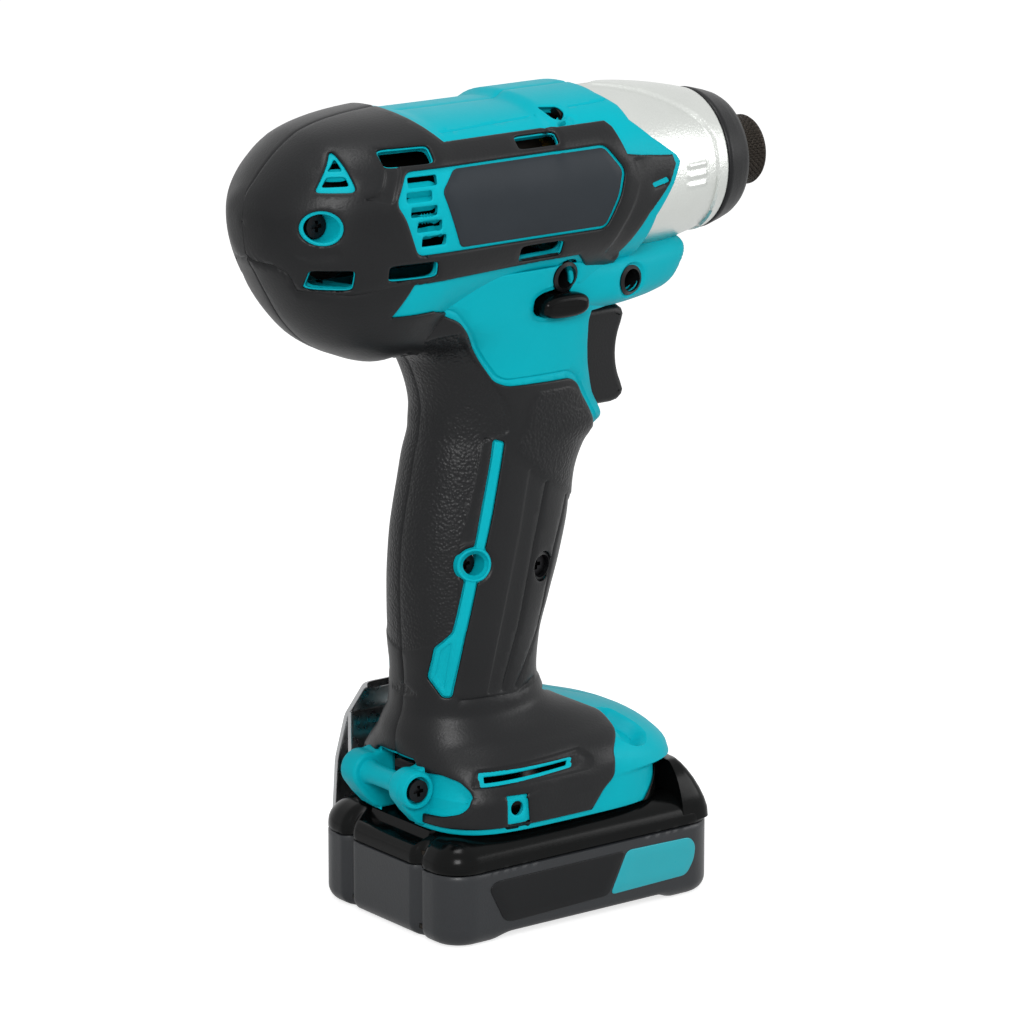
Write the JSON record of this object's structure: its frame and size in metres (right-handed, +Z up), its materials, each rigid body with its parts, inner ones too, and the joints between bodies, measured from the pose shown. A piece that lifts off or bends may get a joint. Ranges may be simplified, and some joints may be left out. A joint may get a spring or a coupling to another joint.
{
  "type": "impact driver",
  "caption": "Cordless impact driver: teal and black pistol-grip housing, cast hammer case, hex bit chuck, trigger, reversing button, belt hook and slide-on battery.",
  "frame": {"origin": "on the battery's flat bottom face, below the handle", "axes": "+X along the drive axis towards the bit, +Y to the tool's left, +Z up"},
  "size_m": [0.1529, 0.0658, 0.2055],
  "materials": {
    "teal_plastic": "satin moulded plastic",
    "elastomer": "fine leather grain",
    "plate_film": "satin film",
    "cast_aluminium": "bead blasted casting",
    "black_steel": "black oxide",
    "spring_steel": "bright plated",
    "bright_steel": "ground",
    "dark_steel": "hardened, dark",
    "gloss_black": "glossy moulded plastic",
    "satin_black": "satin moulded plastic",
    "battery_film": "fine texture",
    "lens": "clear",
    "board": "solder mask",
    "brass": "plain",
    "copper": "enamelled winding",
    "magnet": "sintered",
    "carbon": "pressed carbon",
    "cell_wrap": "shrink wrap"
  },
  "bodies": {
    "housing": {"housing_right": "teal_plastic", "housing_left": "teal_plastic", "overmould_right": "elastomer", "overmould_left": "elastomer", "name_plates": "plate_film", "hammer_case": "cast_aluminium", "nose_ring": "elastomer", "housing_screws": "black_steel", "cover_screws": "black_steel", "case_screws": "dark_steel", "belt_hook": "spring_steel", "hook_screw": "spring_steel", "strap_screw": "black_steel", "lamp_lens": "lens", "lamp_board": "board", "switch_body": "gloss_black", "terminal_block": "satin_black", "terminal_blades": "brass", "motor_can": "dark_steel", "motor_magnets": "magnet", "end_bell": "satin_black", "brushes": "carbon", "motor_bearings": "bright_steel", "gear_cover": "cast_aluminium", "ring_gear": "dark_steel", "carrier_bush": "brass", "front_bush": "brass", "thrust_washer": "bright_steel", "trigger_spring": "spring_steel"},
    "rotor": {"rotor_shaft": "bright_steel", "armature_core": "copper", "commutator": "copper", "fan": "satin_black"},
    "spindle": {"spindle": "bright_steel", "planet_pins": "dark_steel", "cam_balls": "bright_steel", "hammer_spring": "spring_steel"},
    "planet_1": {"planet_gear_1": "dark_steel"},
    "planet_2": {"planet_gear_2": "dark_steel"},
    "planet_3": {"planet_gear_3": "dark_steel"},
    "hammer": {"hammer": "dark_steel"},
    "anvil": {"anvil": "dark_steel", "bit_balls": "bright_steel", "sleeve_washer": "bright_steel", "retaining_ring": "dark_steel", "sleeve_spring": "spring_steel"},
    "bit_sleeve": {"bit_sleeve": "dark_steel"},
    "trigger": {"trigger": "elastomer"},
    "reverse_button": {"reverse_button": "gloss_black"},
    "battery": {"battery_case": "satin_black", "battery_cover": "gloss_black", "battery_panels": "battery_film", "battery_badges": "teal_plastic", "battery_cells": "cell_wrap", "battery_board": "board", "battery_contacts": "brass", "battery_screws": "dark_steel", "button_spring": "spring_steel"},
    "battery_button": {"battery_button": "gloss_black"}
  },
  "joints": [
    {"name": "rotor_spin", "type": "hinge", "parent": "housing", "child": "rotor", "pos_m": [0, 0, 0.182], "axis": [1, 0, 0], "continuous": true},
    {"name": "spindle_spin", "type": "hinge", "parent": "housing", "child": "spindle", "pos_m": [0, 0, 0.182], "axis": [1, 0, 0], "continuous": true},
    {"name": "anvil_spin", "type": "hinge", "parent": "housing", "child": "anvil", "pos_m": [0, 0, 0.182], "axis": [1, 0, 0], "continuous": true},
    {"name": "planet_1_spin", "type": "hinge", "parent": "spindle", "child": "planet_1", "pos_m": [-0.0066, 0.0084, 0.182], "axis": [1, 0, 0], "continuous": true},
    {"name": "planet_2_spin", "type": "hinge", "parent": "spindle", "child": "planet_2", "pos_m": [-0.0066, -0.0042, 0.18927], "axis": [1, 0, 0], "continuous": true},
    {"name": "planet_3_spin", "type": "hinge", "parent": "spindle", "child": "planet_3", "pos_m": [-0.0066, -0.0042, 0.17473], "axis": [1, 0, 0], "continuous": true},
    {"name": "hammer_recoil", "type": "slide", "parent": "spindle", "child": "hammer", "axis": [-1, 0, 0], "range_m": [0, 0.006], "stiffness_N_per_m": 6000, "springref_m": -0.006, "deforming": ["hammer_spring"]},
    {"name": "sleeve_pull", "type": "slide", "parent": "anvil", "child": "bit_sleeve", "axis": [1, 0, 0], "range_m": [0, 0.004], "stiffness_N_per_m": 1000, "springref_m": -0.003, "deforming": ["sleeve_spring"]},
    {"name": "trigger_pull", "type": "slide", "parent": "housing", "child": "trigger", "axis": [-1, 0, 0], "range_m": [0, 0.006], "stiffness_N_per_m": 700, "springref_m": -0.005, "deforming": ["trigger_spring"]},
    {"name": "reverse_push", "type": "slide", "parent": "housing", "child": "reverse_button", "axis": [0, 1, 0], "range_m": [-0.0025, 0.0025]},
    {"name": "battery_slide", "type": "slide", "parent": "housing", "child": "battery", "axis": [1, 0, 0], "range_m": [0, 0.075]},
    {"name": "button_press", "type": "slide", "parent": "battery", "child": "battery_button", "axis": [0, 0, -1], "range_m": [0, 0.003], "stiffness_N_per_m": 600, "springref_m": -0.003, "deforming": ["button_spring"]}
  ],
  "couplings": [
    {"joint": "spindle_spin", "follows": "rotor_spin", "ratio": 0.2},
    {"joint": "anvil_spin", "follows": "rotor_spin", "ratio": 0.2},
    {"joint": "planet_1_spin", "follows": "rotor_spin", "ratio": -0.53333},
    {"joint": "planet_2_spin", "follows": "rotor_spin", "ratio": -0.53333},
    {"joint": "planet_3_spin", "follows": "rotor_spin", "ratio": -0.53333}
  ]
}
